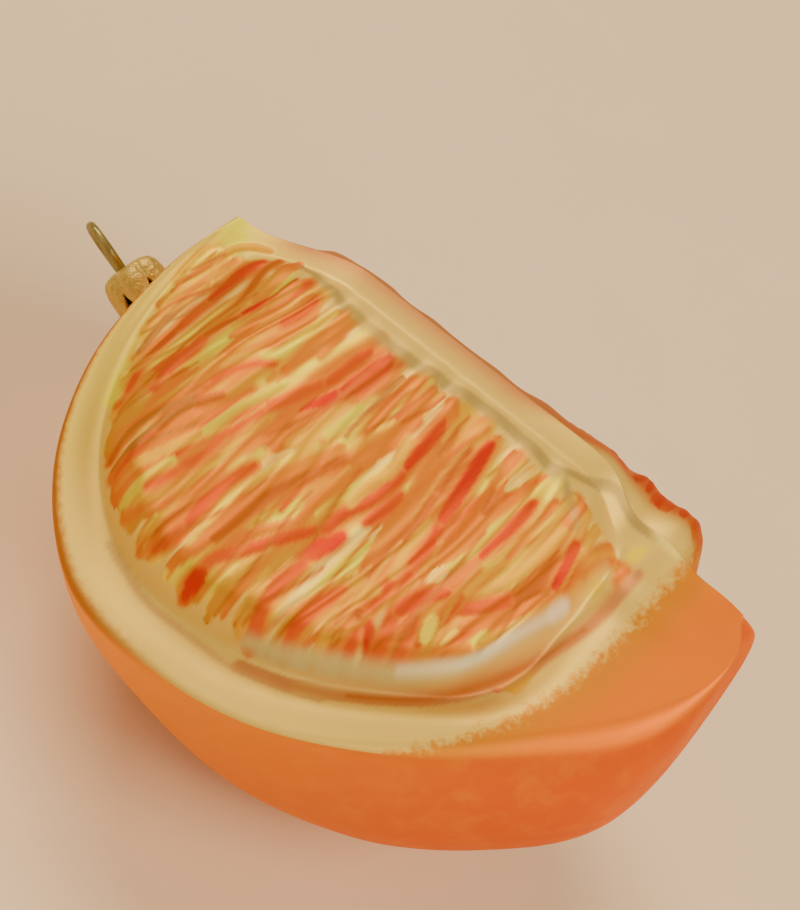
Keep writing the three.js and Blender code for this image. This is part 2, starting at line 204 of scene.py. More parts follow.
# Bands laid over the strokes' ends: silver showing through, the brown line outside it as
# painted shade in the groove, the dark line along the core with its fork as painted shade in
# its valley, and white, lemon and cream spots as painted highlights on the silver and at the fork.
BANDS = [
    ("pith", 2.0, 0.6, [(4.0, 36.6), (8.0, 33.4), (12.3, 29.6), (16.0, 25.8), (18.8, 20.7),
                        (20.2, 14.8), (20.9, 10.8), (21.3, 7.2)]),
    ("pith", 2.0, 0.7, [(17.6, 20.6), (19.8, 13.5), (20.3, 9.5), (20.2, 6.0)]),
    ("grey", 1.1, 0.6, [(-3.0, 37.0), (1.0, 35.6), (6.6, 32.6), (10.3, 30.2), (13.5, 27.5),
                        (16.7, 23.2), (18.6, 16.5), (19.4, 12.4)]),
    # Painted shade: the groove band and the darker rust line in it darken the groove.
    ("groove", 1.5, 0.8, [(-2.0, 38.8), (3.4, 36.8), (8.2, 33.9), (13.0, 30.2), (16.7, 26.2),
                          (19.5, 21.2), (21.2, 15.9), (22.4, 11.2), (22.8, 7.4), (22.9, 4.1)]),
    ("rust", 0.5, 0.5, [(8.2, 33.9), (13.0, 30.2), (16.7, 26.2), (19.5, 21.2), (21.2, 15.9),
                        (22.2, 12.0)]),
    # Painted shade along the valley of the core and of its fork.
    ("shade", 0.8, 0.6, [(-25.3, 2.4), (-19.7, 3.5), (-13.0, 4.0), (-6.1, 3.7), (-0.1, 3.2),
                         (5.6, 3.4), (9.5, 3.7)]),
    ("shade", 0.7, 0.6, [(9.5, 3.7), (13.2, 2.3), (16.0, 0.6), (19.0, 0.4), (22.0, 0.6)]),
    ("shade", 0.5, 0.7, [(9.5, 3.8), (11.3, 4.2), (13.7, 5.2), (15.5, 6.4)]),
    # Painted highlights: a white glint along the silver band and a brighter spot at its end.
    ("painted_highlight_white", 0.5, 0.5, [(10.8, 29.6), (13.8, 27.0), (16.6, 23.0), (18.4, 16.8), (19.2, 12.6)]),
    ("painted_highlight_white", 1.1, 0.5, [(18.9, 14.6), (19.4, 12.0)]),
    # Painted highlights: lemon and cream spots where the core forks and along the ridge beyond it.
    ("lemon", 1.3, 1.0, [(20.4, 8.6), (20.3, 7.4)]),
    ("lemon", 1.2, 1.0, [(21.3, 3.0), (21.6, 2.2)]),
    ("cream", 1.4, 0.9, [(22.0, 0.1), (24.6, 0.1)]),
]
# The larger strokes of juice on the shown face: paint, width and path.
STROKES = [
    ("ochre", 2.5, [(-26.6, 30.0), (-27.8, 26.0), (-29.0, 21.4)]),
    ("peach", 1.9, [(-12.6, 18.9), (-11.3, 14.8), (-10.4, 11.4)]),
    ("orange", 2.5, [(2.2, 24.8), (1.5, 19.6), (0.6, 14.9)]),
    ("orange", 2.1, [(0.6, 14.9), (-0.3, 10.7), (-1.0, 6.8)]),
    ("ochre", 2.3, [(1.4, 29.3), (2.0, 26.8), (3.9, 25.5)]),
    ("orange", 2.1, [(6.3, 19.5), (7.4, 15.8), (7.7, 12.5)]),
    ("tangerine", 1.7, [(13.1, 22.8), (15.6, 18.8), (17.9, 14.1)]),
    ("brown", 1.0, [(-32.2, 19.1), (-32.5, 14.7), (-32.2, 10.9), (-30.7, 7.4), (-29.6, 5.9)]),
    ("lemon", 0.8, [(-30.1, 20.1), (-29.6, 15.8), (-28.8, 12.3), (-27.6, 8.5)]),
    ("ochre", 1.0, [(-31.3, 9.0), (-32.8, 5.9), (-32.7, 3.4), (-31.2, 2.1), (-29.3, 1.8)]),
    ("vermilion", 0.8, [(-29.9, 23.8), (-30.8, 20.4), (-30.9, 17.4), (-30.7, 14.4), (-30.1, 9.6)]),
    ("coral", 1.1, [(-30.7, 14.4), (-30.7, 11.8), (-29.9, 9.5)]),
    ("scarlet", 1.4, [(-30.3, 9.6), (-30.0, 7.3), (-29.8, 5.1), (-28.9, 3.7)]),
    ("rust", 0.8, [(-28.1, 13.5), (-27.5, 11.0), (-27.3, 8.0), (-27.9, 4.8), (-27.6, 2.7)]),
    ("vermilion", 1.4, [(-27.6, 22.5), (-28.0, 19.2), (-27.5, 16.5), (-27.5, 14.2), (-26.9, 12.1)]),
    ("rust", 0.8, [(-27.5, 14.2), (-26.7, 12.0), (-25.3, 10.0)]),
    ("scarlet", 1.0, [(-25.9, 10.1), (-25.2, 8.7), (-24.4, 7.0)]),
    ("tangerine", 1.6, [(-26.0, 7.9), (-25.9, 5.6), (-26.1, 3.5), (-25.7, 2.3)]),
    ("coral", 0.8, [(-24.2, 8.3), (-23.6, 5.8), (-22.9, 3.9)]),
    ("orange", 1.0, [(-25.2, 13.0), (-24.1, 9.4), (-22.9, 6.3), (-21.7, 4.7)]),
    ("vermilion", 0.8, [(-21.9, 8.9), (-21.2, 6.7), (-20.9, 5.1)]),
    ("amber", 1.4, [(-24.3, 20.6), (-24.3, 17.1), (-22.6, 14.9), (-21.0, 12.1)]),
    ("lime", 1.6, [(-21.0, 12.8), (-19.9, 11.3), (-19.4, 8.7), (-18.7, 5.0)]),
    ("tangerine", 1.5, [(-18.6, 12.7), (-18.2, 9.8), (-17.7, 6.7), (-17.7, 4.2)]),
    ("vermilion", 0.6, [(-23.6, 20.8), (-22.9, 17.5), (-21.4, 14.6), (-18.7, 12.5)]),
    ("rust", 0.7, [(-25.9, 31.3), (-26.1, 28.7), (-25.7, 25.6), (-24.3, 22.6), (-23.4, 19.5)]),
    ("rust", 1.2, [(-23.9, 26.4), (-23.9, 24.3), (-23.1, 22.0), (-21.4, 19.3)]),
    ("amber", 1.3, [(-23.2, 31.6), (-22.3, 29.4), (-21.1, 26.4), (-19.9, 23.3)]),
    ("lime", 1.3, [(-19.9, 23.6), (-19.4, 21.0), (-18.8, 18.2), (-17.5, 13.8)]),
    ("tangerine", 1.6, [(-22.3, 34.3), (-23.2, 33.0), (-23.2, 31.6)]),
    ("lime", 1.5, [(-21.4, 34.5), (-21.1, 32.5), (-20.6, 30.4), (-20.3, 28.4)]),
    ("coral", 0.8, [(-20.4, 32.4), (-19.7, 30.1), (-18.9, 27.3)]),
    ("coral", 1.3, [(-19.1, 27.8), (-18.4, 25.4), (-18.3, 22.7), (-17.9, 19.6), (-16.8, 16.7)]),
    ("coral", 1.4, [(-16.8, 17.0), (-15.4, 13.8), (-14.0, 10.6), (-13.3, 8.1)]),
    ("vermilion", 1.3, [(-14.0, 10.6), (-13.6, 7.8), (-13.1, 5.6)]),
    ("scarlet", 1.6, [(-13.9, 15.0), (-12.9, 12.3), (-11.7, 9.7), (-10.9, 7.5)]),
    ("scarlet", 2.3, [(-12.0, 10.1), (-11.3, 7.5), (-11.1, 5.4)]),
    ("tangerine", 1.4, [(-20.4, 35.4), (-18.4, 33.3), (-16.8, 29.8), (-16.0, 25.8)]),
    ("tangerine", 1.2, [(-16.0, 25.8), (-15.9, 22.1), (-14.7, 17.3), (-12.8, 14.0)]),
    ("rust", 0.7, [(-16.9, 36.9), (-16.6, 35.0), (-16.2, 32.4), (-15.4, 29.9)]),
    ("coral", 1.2, [(-15.7, 36.4), (-15.0, 34.7), (-14.9, 32.1)]),
    ("vermilion", 1.2, [(-14.9, 32.4), (-15.0, 29.5), (-14.7, 26.6), (-13.9, 22.9)]),
    ("amber", 1.0, [(-13.0, 32.8), (-12.5, 29.9), (-12.6, 26.7), (-12.0, 23.5), (-10.7, 19.5),
                    (-9.3, 15.6)]),
    ("tangerine", 1.6, [(-13.3, 36.6), (-12.3, 33.6), (-12.0, 30.0), (-11.8, 26.9)]),
    ("orange", 1.5, [(-12.1, 26.9), (-11.2, 23.6), (-9.9, 19.5), (-8.4, 15.5)]),
    ("rust", 1.3, [(-11.7, 32.2), (-11.2, 28.6), (-10.6, 25.2), (-9.1, 20.5), (-7.4, 16.4)]),
    ("salmon", 1.2, [(-10.5, 33.2), (-9.8, 30.3), (-8.7, 27.9), (-6.5, 24.8)]),
    ("orange", 1.3, [(-6.6, 24.9), (-6.5, 21.6), (-5.7, 17.9), (-5.3, 14.5)]),
    ("vermilion", 1.3, [(-10.6, 35.6), (-10.4, 33.7), (-8.9, 31.4), (-6.1, 26.7), (-3.9, 23.8)]),
    ("scarlet", 1.8, [(-10.5, 37.4), (-10.4, 35.7)]),
    ("scarlet", 2.1, [(-3.6, 27.5), (-3.1, 25.7), (-2.3, 23.5)]),
    ("vermilion", 1.3, [(-3.9, 23.8), (-3.6, 20.9), (-2.4, 18.2), (-1.9, 15.1), (-1.9, 12.4)]),
    ("vermilion", 1.2, [(-1.3, 20.5), (-0.7, 17.8), (-0.6, 15.6)]),
    ("scarlet", 1.3, [(-2.0, 12.7), (-2.1, 9.5), (-2.0, 7.3), (-1.9, 5.6)]),
    ("coral", 1.7, [(-2.4, 36.7), (-3.4, 35.1), (-3.8, 32.3), (-3.2, 28.4)]),
    ("ochre", 1.1, [(-7.4, 37.7), (-7.7, 35.6), (-7.4, 32.6), (-6.6, 29.2)]),
    ("amber", 1.3, [(-4.0, 36.9), (-4.7, 34.9), (-5.3, 31.2)]),
    ("ochre", 0.8, [(-0.5, 36.4), (-0.5, 34.7), (0.4, 32.2)]),
    ("coral", 1.5, [(0.8, 35.3), (0.5, 33.4), (0.9, 30.3), (1.6, 28.0)]),
    ("amber", 1.2, [(3.6, 34.5), (3.3, 32.4), (2.7, 30.0)]),
    ("rust", 1.1, [(4.4, 32.6), (3.6, 30.4), (4.0, 28.6), (5.6, 29.1)]),
    ("scarlet", 1.2, [(7.2, 30.7), (6.7, 29.8), (5.6, 28.8)]),
    ("coral", 1.4, [(8.5, 31.3), (7.9, 28.8), (6.8, 25.7), (5.6, 21.9)]),
    ("coral", 1.3, [(10.2, 29.9), (9.7, 28.0), (8.6, 24.9)]),
    ("vermilion", 1.6, [(7.3, 25.6), (8.0, 23.1), (9.5, 20.9)]),
    ("rust", 1.2, [(2.5, 24.9), (2.6, 22.1), (2.6, 19.5), (2.4, 15.8), (2.0, 12.3)]),
    ("rust", 1.2, [(2.0, 12.6), (1.5, 9.7), (1.5, 6.9)]),
    ("amber", 1.3, [(4.3, 23.1), (3.9, 19.4), (3.7, 16.1)]),
    ("vermilion", 1.1, [(4.9, 20.6), (5.0, 17.3), (4.2, 14.3)]),
    ("scarlet", 1.5, [(4.3, 14.8), (3.9, 11.6), (3.4, 8.3), (3.0, 5.5)]),
    ("tangerine", 1.5, [(5.7, 16.7), (6.4, 13.6), (6.4, 10.2), (5.7, 5.6)]),
    ("rust", 1.0, [(7.2, 11.6), (6.9, 9.8), (6.4, 8.2)]),
    ("salmon", 1.3, [(9.4, 20.1), (9.6, 17.6), (10.0, 14.8)]),
    ("scarlet", 1.5, [(10.0, 15.1), (10.3, 12.5), (10.3, 9.8), (10.3, 7.1)]),
    ("salmon", 1.0, [(12.1, 13.7), (12.0, 10.5), (12.1, 7.5), (11.9, 5.9)]),
    ("amber", 1.4, [(12.0, 19.3), (13.5, 15.9), (14.4, 12.1), (14.5, 9.9), (14.6, 7.4)]),
    ("vermilion", 1.5, [(11.2, 22.0), (13.7, 19.3), (15.5, 16.1)]),
    ("rust", 1.4, [(15.5, 16.4), (16.1, 13.7), (16.1, 10.4)]),
    ("scarlet", 1.6, [(17.7, 12.6), (17.4, 10.4), (16.5, 7.8)]),
    ("amber", 0.8, [(15.5, 23.2), (16.4, 20.5), (17.7, 17.0), (18.8, 12.4)]),
    ("orange", 1.5, [(11.0, 28.3), (13.2, 26.3), (14.9, 23.9)]),
    # The short lemon stroke is a bright yellow spot, part paint and part painted highlight.
    ("lemon", 1.4, [(11.1, 26.4), (10.3, 24.0)]),
    ("lime", 1.3, [(-10.6, 15.6), (-10.0, 12.9), (-9.8, 10.5)]),
    ("brown", 0.7, [(-8.9, 14.2), (-9.1, 10.6), (-8.9, 7.6), (-8.7, 5.4)]),
    ("tangerine", 1.3, [(-7.5, 12.7), (-7.6, 9.2), (-7.7, 5.0)]),
    ("orange", 1.4, [(-4.8, 12.0), (-5.3, 7.7), (-5.5, 4.7)]),
    ("orange", 1.6, [(-6.6, 16.2), (-5.4, 12.6), (-5.1, 9.2)]),
    ("amber", 1.3, [(-3.7, 20.0), (-3.7, 16.7), (-2.9, 14.1), (-4.0, 10.0)]),
    ("orange", 1.3, [(-0.2, 12.8), (-0.6, 9.5), (-1.0, 6.5), (-3.1, 4.7)]),
]


FAR_OFF = 99.0  # further than any stroke reaches
UNPAINTED = -9.0  # depth where no stroke comes near
SOFT_PAINT = 0.4  # softer paint than this is too thin to stand up
STROKE_TAPER = 0.3


def brushed(place, strokes):
    """Paints the strokes one over the other on places of a cut face: cover, tone and depth."""
    cover, depth = np.zeros(len(place)), np.full(len(place), UNPAINTED)
    tone = np.zeros((len(place), 3))
    for paint, width, softness, path in strokes:
        path = through(np.array(path, float), np.linspace(0, 1, 4 * len(path)))
        margin = width + 2 * softness
        near = (place > path.min(0) - margin) & (place < path.max(0) + margin)
        near = np.where(near.all(1))[0]
        spot = place[near]
        nearest, passed = np.full(len(near), FAR_OFF), np.zeros(len(near))
        for k, (start, end) in enumerate(zip(path[:-1], path[1:])):
            way = end - start
            t = np.clip((spot - start) @ way / (way @ way), 0, 1)
            far = np.linalg.norm(spot - start - t[:, None] * way, axis=1)
            passed = np.where(far < nearest, (k + t) / (len(path) - 1), passed)
            nearest = np.minimum(nearest, far)
        half = width / 2 * (1 - STROKE_TAPER * np.abs(2 * passed - 1) ** 3)
        within = half - nearest
        load = 0.9 + 0.1 * np.sin(chance.uniform(0, 6) + 3 * passed)
        share = smooth(0.5 + within / (2 * softness)) * load
        if softness < SOFT_PAINT:
            depth[near] = np.maximum(depth[near], within)
        tone[near] = tone[near] * (1 - share[:, None]) + np.array(PAINTS[paint]) * share[:, None]
        cover[near] = 1 - (1 - cover[near]) * (1 - share)
    tone = tone / np.maximum(cover, 0.02)[:, None]
    return cover, tone, depth


CORE_EDGE = 4.6  # strokes end this far from the ridge
PITH_MARGIN = 1.4  # and start this far inside the pulp
STROKE_ENDS = ((0.1, 0.08), (0.7, 0.8))  # first and last station with strokes, for each face


def sac_strokes(side, count, widths, lengths, gap, paints, softness):
    """Brush strokes by rule: they follow the juice sacs from the rind's side to the core's."""
    made = []
    for station in np.linspace(STROKE_ENDS[0][side], STROKE_ENDS[1][side], count):
        length = sum(float(m) for m in face_measures(np.array(station), np.array(0.5), side)[2:4])
        start = length - float(border_width(station)) - PITH_MARGIN - softness
        while start > CORE_EDGE + 2:
            end = max(CORE_EDGE, start - chance.uniform(*lengths))
            phase, swing = chance.uniform(0, 6), chance.uniform(0.005, 0.013)
            drift = chance.uniform(-0.03, 0.03)
            path = []
            for reach in np.linspace(start, end, 9):
                share = reach / length
                sway = station + swing * math.sin(8 * share + phase) + drift * (share - 0.5)
                along, away = face_measures(np.array(sway), np.array(share), side)[:2]
                path.append((float(along), float(away)))
            paint = str(chance.choice(paints))
            made.append((paint, chance.uniform(*widths), softness, path))
            start = end - chance.uniform(*gap)
    return made


chance = np.random.default_rng(11)  # fixed, so that every run paints the same strokes
HALO, HALO_SOFTNESS = 0.8, 0.5  # orange that red strokes bleed into
BRUSH_SOFTNESS = 0.16
WASH = ["amber", "orange", "tangerine", "amber", "lemon", "amber", "orange", "lime"]
UNDER = ["tangerine", "orange", "amber", "ochre", "peach", "orange", "lemon", "vermilion", "cream"]
OVER = ["scarlet", "vermilion", "coral", "rust", "tangerine", "orange", "amber"]
HAIRS = ["rust", "brown", "rust", "ochre", "orange", "rust", "amber"]
shown_strokes = SHADES + sac_strokes(0, 46, (1.4, 2.6), (8, 24), (1, 6), WASH, 0.7)
shown_strokes += sac_strokes(0, 50, (0.6, 1.3), (8, 26), (2, 9), UNDER, 0.3)
for paint, width, path in STROKES:
    if paint in ("scarlet", "vermilion", "coral", "rust"):
        shown_strokes.append(("tangerine", width + HALO, HALO_SOFTNESS, path))
    shown_strokes.append((paint, width, BRUSH_SOFTNESS, path))
shown_strokes += sac_strokes(0, 44, (0.3, 0.5), (8, 22), (6, 20), HAIRS, 0.2) + BANDS
far_strokes = sac_strokes(1, 60, (0.9, 1.8), (8, 24), (0, 3), UNDER, 0.4)
far_strokes += sac_strokes(1, 40, (0.8, 1.5), (6, 18), (1, 6), OVER, 0.22)

u = (np.arange(1, STATIONS) / STATIONS)[:, None]


def crowded(rows, strength):
    """Shares from 0 to 1 that lie closer together at both ends."""
    t = np.linspace(0, 1, rows + 1)
    return (t - strength * np.sin(2 * np.pi * t))[None]


def rim_rounding(length):
    """Half width of the rounded rim: narrow at the stem end, wide at the blossom end."""
    wider = (BLOSSOM_RIM_ROUNDING - STEM_RIM_ROUNDING) * smooth((u - 0.55) / 0.3)
    return np.minimum(STEM_RIM_ROUNDING + wider, 0.25 * length)


def over_rim(t, side, length, rounding):
    """The rounded rim of a cut face: t runs from 0 on the face to 1 on the rind."""
    arc = rim_at(u)[..., 1] * WEDGE_ANGLE
    inner = face_points(u, 1 - rounding / length, side)
    corner = face_points(u, np.ones_like(u), side)
    outer = rind_points(u, rounding / arc if side == 0 else 1 - rounding / arc)
    return (1 - t) ** 2 * inner + 2 * t * (1 - t) * corner + t * t * outer


def face_sheet(side, rows, strokes):
    """Points of a cut face with its painted strokes slightly raised, and what the paint needs."""
    share = crowded(rows, FACE_CROWDING)
    along, away, from_ridge, from_rim, inside = face_measures(u, share, side)
    place = np.stack((along, away), -1)
    cover, tone, depth = brushed(place.reshape(-1, 2), strokes)
    thick = smooth((depth.reshape(along.shape) + 0.3) / 0.8)
    raised = PAINT_HEIGHT * thick * smooth(inside / 2 + 1)
    points = face_points(u, share, side, raised)
    length = (from_ridge + from_rim)[:, :1]
    rounding = rim_rounding(length)
    t = ((rounding - from_rim) / (2 * rounding))[..., None]
    points = np.where(t > 0, over_rim(t, side, length, rounding), points)
    return points, {
        "along": along, "from_ridge": from_ridge, "from_rim": from_rim, "inside": inside,
        "away": away, "station": u + 0 * along, "far_side": 0 * along + side,
        "cover": cover.reshape(along.shape),
        "tone": tone.reshape(along.shape + (3,)),
    }


def rind_sheet():
    """Points of the rind, and what the paint needs there."""
    share = crowded(RIND_ROWS, RIND_CROWDING)
    arc = rim_at(u)[..., 1] * WEDGE_ANGLE
    points = rind_points(u, share)
    length = np.hypot(rim_at(u)[..., 1], rim_at(u)[..., 0] + RIDGE_LENGTH / 2 * np.cos(np.pi * u))
    rounding = rim_rounding(length)
    for side in (0, 1):
        walked_over = (share, 1 - share)[side] * arc
        t = ((rounding + walked_over) / (2 * rounding))[..., None]
        points = np.where(t < 1, over_rim(t, side, length, rounding), points)
    blank = np.zeros(points.shape[:2])
    return points, {
        "along": points[..., 1], "from_ridge": blank + 60, "inside": blank - 20,
        "from_rim": -np.minimum(share, 1 - share) * arc, "away": blank + 60,
        "station": u + blank, "far_side": blank, "cover": blank, "tone": np.zeros(points.shape),
    }


# Each ring runs down the shown face, round the rind and back up the far face. The sheets share
# their edges, so the rind's edge rows and the far face's ridge row are left out.
sheets = [
    (*face_sheet(0, SHOWN_ROWS, shown_strokes), slice(0, None)),
    (*rind_sheet(), slice(1, -1)),
    (*face_sheet(1, FAR_ROWS, far_strokes), slice(-1, 0, -1)),
]
ring_points = np.concatenate([points[:, cut] for points, values, cut in sheets], axis=1)
ring_values = {
    name: np.concatenate([values[name][:, cut] for points, values, cut in sheets], axis=1)
    for name in sheets[0][1]
}
ring = ring_points.shape[1]
stem_corner, blossom_corner = np.array([[0, -35, 0]]), np.array([[0, 35, 0]])
into_wedge = np.array((0, -0.8, 0)) - 0.6 * MIDDLE_OUT
points = np.concatenate((stem_corner, ring_points.reshape(-1, 3), blossom_corner))
from_corner = np.linalg.norm(points - blossom_corner, axis=1)
points += CORNER_PUSH * np.clip(1 - from_corner / CORNER_REACH, 0, 1)[:, None] ** 2 * into_wedge

# The wedge at rest: ridge along X, shown face up and to the front, stem end a little lower.
REST_LEAN, REST_DIP = math.radians(26), math.radians(8)
RIDGE_MIDDLE = (-3.1, 1.8, 47.3)
rest = Matrix.Translation(RIDGE_MIDDLE) @ Matrix.Rotation(-REST_DIP, 4, "Y") @ Matrix((
    (0, 1, 0, 0),
    (-math.cos(REST_LEAN), 0, -math.sin(REST_LEAN), 0),
    (-math.sin(REST_LEAN), 0, math.cos(REST_LEAN), 0),
    (0, 0, 0, 1),
))
rest_array = np.array(rest)
points = points @ rest_array[:3, :3].T + rest_array[:3, 3]
points[:, 2] = np.maximum(points[:, 2], 0)


def make_piece(name, points, faces):
    """A smooth mesh object at the origin, from points in millimetres."""
    mesh = bpy.data.meshes.new(name)
    mesh.from_pydata((np.asarray(points) * MM).tolist(), [], faces)
    mesh.shade_smooth()
    piece = bpy.data.objects.new(name, mesh)
    bpy.context.scene.collection.objects.link(piece)
    return piece


i, j = np.meshgrid(np.arange(STATIONS - 2), np.arange(ring), indexing="ij")
here, beside = 1 + i * ring + j, 1 + i * ring + (j + 1) % ring
quads = np.stack((here, beside, beside + ring, here + ring), -1).reshape(-1, 4)
last = len(points) - 1
first_ring, last_ring = 1, 1 + (STATIONS - 2) * ring
caps = [(0, first_ring + (k + 1) % ring, first_ring + k) for k in range(ring)]
caps += [(last, last_ring + k, last_ring + (k + 1) % ring) for k in range(ring)]
glass_quarter = make_piece("glass_quarter", points, quads.tolist() + caps)
for name, values in ring_values.items():
    width = 3 if name == "tone" else 1
    flat = values.reshape(-1, width)
    flat = np.concatenate((flat[:1], flat, flat[-1:]))
    if name == "tone":
        layer = glass_quarter.data.attributes.new(name, "FLOAT_COLOR", "POINT")
        layer.data.foreach_set("color", np.c_[flat, np.ones(len(flat))].astype("f").ravel())
    else:
        layer = glass_quarter.data.attributes.new(name, "FLOAT", "POINT")
        layer.data.foreach_set("value", flat.astype("f").ravel())


class Wiring:
    """Adds nodes to one node tree and wires them up."""

    def __init__(self, tree):
        self.tree = tree

    def node(self, kind, inputs=None, **settings):
        """Adds a node. Each input is either a value or an output socket to link from."""
        made = self.tree.nodes.new(kind)
        for name, value in settings.items():
            setattr(made, name, value)
        for socket, value in (inputs or {}).items():
            if isinstance(value, bpy.types.NodeSocket):
                self.tree.links.new(value, made.inputs[socket])
            else:
                made.inputs[socket].default_value = value
        return made

    def calc(self, operation, *values):
        return self.node("ShaderNodeMath", dict(enumerate(values)), operation=operation).outputs[0]

    def ramp(self, value, low, high, to_low=0.0, to_high=1.0):
        """to_low under low, to_high over high, smooth in between."""
        made = self.node("ShaderNodeMapRange", {
            "Value": value, "From Min": low, "From Max": high, "To Min": to_low, "To Max": to_high,
        }, interpolation_type="SMOOTHSTEP")
        return made.outputs[0]

    def noise(self, where, scale, detail=2.0, roughness=0.5, distortion=0.0):
        made = self.node("ShaderNodeTexNoise", {
            "Vector": where, "Scale": scale, "Detail": detail, "Roughness": roughness,
            "Distortion": distortion,
        })
        return made.outputs["Fac"]

    def named(self, name, output="Fac"):
        return self.node("ShaderNodeAttribute", attribute_name=name).outputs[output]

    def mix(self, share, first, second):
        def full(colour):
            if isinstance(colour, bpy.types.NodeSocket):
                return colour
            return (*colour, 1)
        made = self.node("ShaderNodeMix", {0: share, 6: full(first), 7: full(second)},
                         data_type="RGBA")
        return made.outputs[2]

    def mottled(self, where, scale, detail, roughness, first, second):
        """Two tones mottled together, and the noise that mottles them."""
        made = self.node("ShaderNodeGroup", {
            "Place": where, "Scale": scale, "Detail": detail, "Roughness": roughness,
            "First Tone": (*first, 1), "Second Tone": (*second, 1),
        }, node_tree=mottling)
        return made.outputs["Colour"], made.outputs["Noise"]


# Mottling, which every material here has: two tones mixed by a noise, which is put out as well.
mottling = bpy.data.node_groups.new("mottling", "ShaderNodeTree")
for name, kind in (("Place", "NodeSocketVector"), ("Scale", "NodeSocketFloat"),
                   ("Detail", "NodeSocketFloat"), ("Roughness", "NodeSocketFloat"),
                   ("First Tone", "NodeSocketColor"), ("Second Tone", "NodeSocketColor")):
    mottling.interface.new_socket(name, in_out="INPUT", socket_type=kind)
mottling.interface.new_socket("Colour", in_out="OUTPUT", socket_type="NodeSocketColor")
mottling.interface.new_socket("Noise", in_out="OUTPUT", socket_type="NodeSocketFloat")
w = Wiring(mottling)
given = w.node("NodeGroupInput").outputs
fine = w.noise(given["Place"], given["Scale"], given["Detail"], given["Roughness"])
result = w.node("NodeGroupOutput")
w.tree.links.new(w.mix(fine, given["First Tone"], given["Second Tone"]), result.inputs["Colour"])
w.tree.links.new(fine, result.inputs["Noise"])


def new_material(name):
    material = bpy.data.materials.new(name)
    material.use_nodes = True
    wiring = Wiring(material.node_tree)
    return material, wiring, material.node_tree.nodes["Principled BSDF"]


paint, w, shader = new_material("painted_glass")
along, away, station = w.named("along"), w.named("away"), w.named("station")
inside, from_rim, from_ridge = w.named("inside"), w.named("from_rim"), w.named("from_ridge")
where = w.node("ShaderNodeTexCoord").outputs["Object"]
patches = w.noise(where, 260.0, 4.0, 0.6)
grain = w.noise(where, 1100.0, 3.0, 0.7)
flow = w.node("ShaderNodeCombineXYZ", {
    0: w.calc("MULTIPLY", station, 190.0), 1: w.calc("MULTIPLY", from_ridge, 0.16),
}).outputs[0]
streak = w.noise(flow, 1.0, 3.0, 0.6, 0.6)
hairs = w.noise(w.node("ShaderNodeVectorMath", {0: flow, 1: (3.0, 2.0, 1.0)},
                       operation="MULTIPLY").outputs[0], 1.0, 2.0, 0.5)
# Pith: cream with a faint cloudiness, greener towards the stem end.
skin = w.mottled(where, 90.0, 3.0, 0.5, (0.800, 0.575, 0.105), (0.880, 0.650, 0.140))[0]
greener = w.ramp(along, -24.0, -34.0, 0.0, 0.6)
skin = w.mix(greener, skin, (0.760, 0.610, 0.045))
# Pulp: a pale ground that shows in streaks between the strokes.
ground = w.mix(w.ramp(streak, 0.35, 0.65), (0.900, 0.460, 0.020), (0.980, 0.740, 0.140))
ragged = w.calc("ADD", inside, w.calc("MULTIPLY", w.calc("SUBTRACT", streak, 0.5), 2.0))
past_core = w.ramp(w.calc("ADD", from_ridge, hairs), 4.2, 5.6)
pulp_share = w.calc("MULTIPLY", w.ramp(ragged, 1.4, 3.4), past_core)
skin = w.mix(pulp_share, skin, ground)
dry = w.calc("ADD", w.named("cover"), w.calc("MULTIPLY", w.calc("SUBTRACT", hairs, 0.5), 0.5))
# The strokes, dry and hairy at their edges.
skin = w.mix(w.ramp(dry, 0.08, 0.65, 0.0, 0.97), skin, w.named("tone", "Color"))
# A reddish brown wash covers the far face's crest, redder towards the blossom end.
over_ridge = w.calc("MULTIPLY", from_ridge, w.ramp(w.named("far_side"), 0.0, 1.0, -1.0, 1.0))
crest = w.calc("SUBTRACT", over_ridge, w.ramp(along, 0.0, 20.0, 0.0, 5.2))
blush = w.ramp(crest, -2.2, -0.1)
blush = w.calc("MULTIPLY", blush, w.ramp(along, -33.0, -26.0))
blush = w.calc("MULTIPLY", blush, w.ramp(from_ridge, 11.0, 6.0, 0.03, 0.85))
wash = w.mix(w.ramp(along, -4.0, 16.0), (0.500, 0.160, 0.060), (0.620, 0.060, 0.012))
skin = w.mix(blush, skin, wash)
# Rind: orange sprayed on, with a loose speckled edge over the blossom end of the cut faces.
orange = w.mix(w.ramp(along, -34.0, 34.0), (0.950, 0.400, 0.002), (0.780, 0.125, 0.001))
orange = w.mix(w.ramp(patches, 0.4, 0.75, 0.0, 0.35), orange, (0.920, 0.290, 0.004))
speckle = w.calc("MULTIPLY", w.calc("SUBTRACT", grain, 0.5), 8.0)
edge_of_spray = w.calc("SUBTRACT", 25.8, w.calc("MULTIPLY", w.calc("POWER", away, 3.0), 0.00022))
beyond = w.calc("SUBTRACT", along, edge_of_spray)
on_face = w.ramp(from_rim, -0.5, 0.8)
orange = w.mix(on_face, orange, (0.900, 0.210, 0.002))
near_rim = w.calc("MULTIPLY", w.ramp(from_rim, 6.0, 1.0), w.ramp(along, 33.0, 14.0))
thinner = w.calc("MAXIMUM", w.ramp(beyond, 6.0, 0.5), near_rim)
orange = w.mix(w.calc("MULTIPLY", thinner, on_face), orange, (0.700, 0.250, 0.002))
spray = w.ramp(w.calc("ADD", beyond, w.calc("MULTIPLY", speckle, 0.6)), -1.0, 1.1)
at_rim = w.calc("ADD", from_rim, w.calc("MULTIPLY", speckle, 0.15))
at_stem = w.ramp(along, 0.0, -24.0)
on_rind = w.ramp(w.calc("SUBTRACT", at_rim, at_stem), 0.6, -1.8)
skin = w.mix(w.calc("MAXIMUM", spray, on_rind), skin, orange)
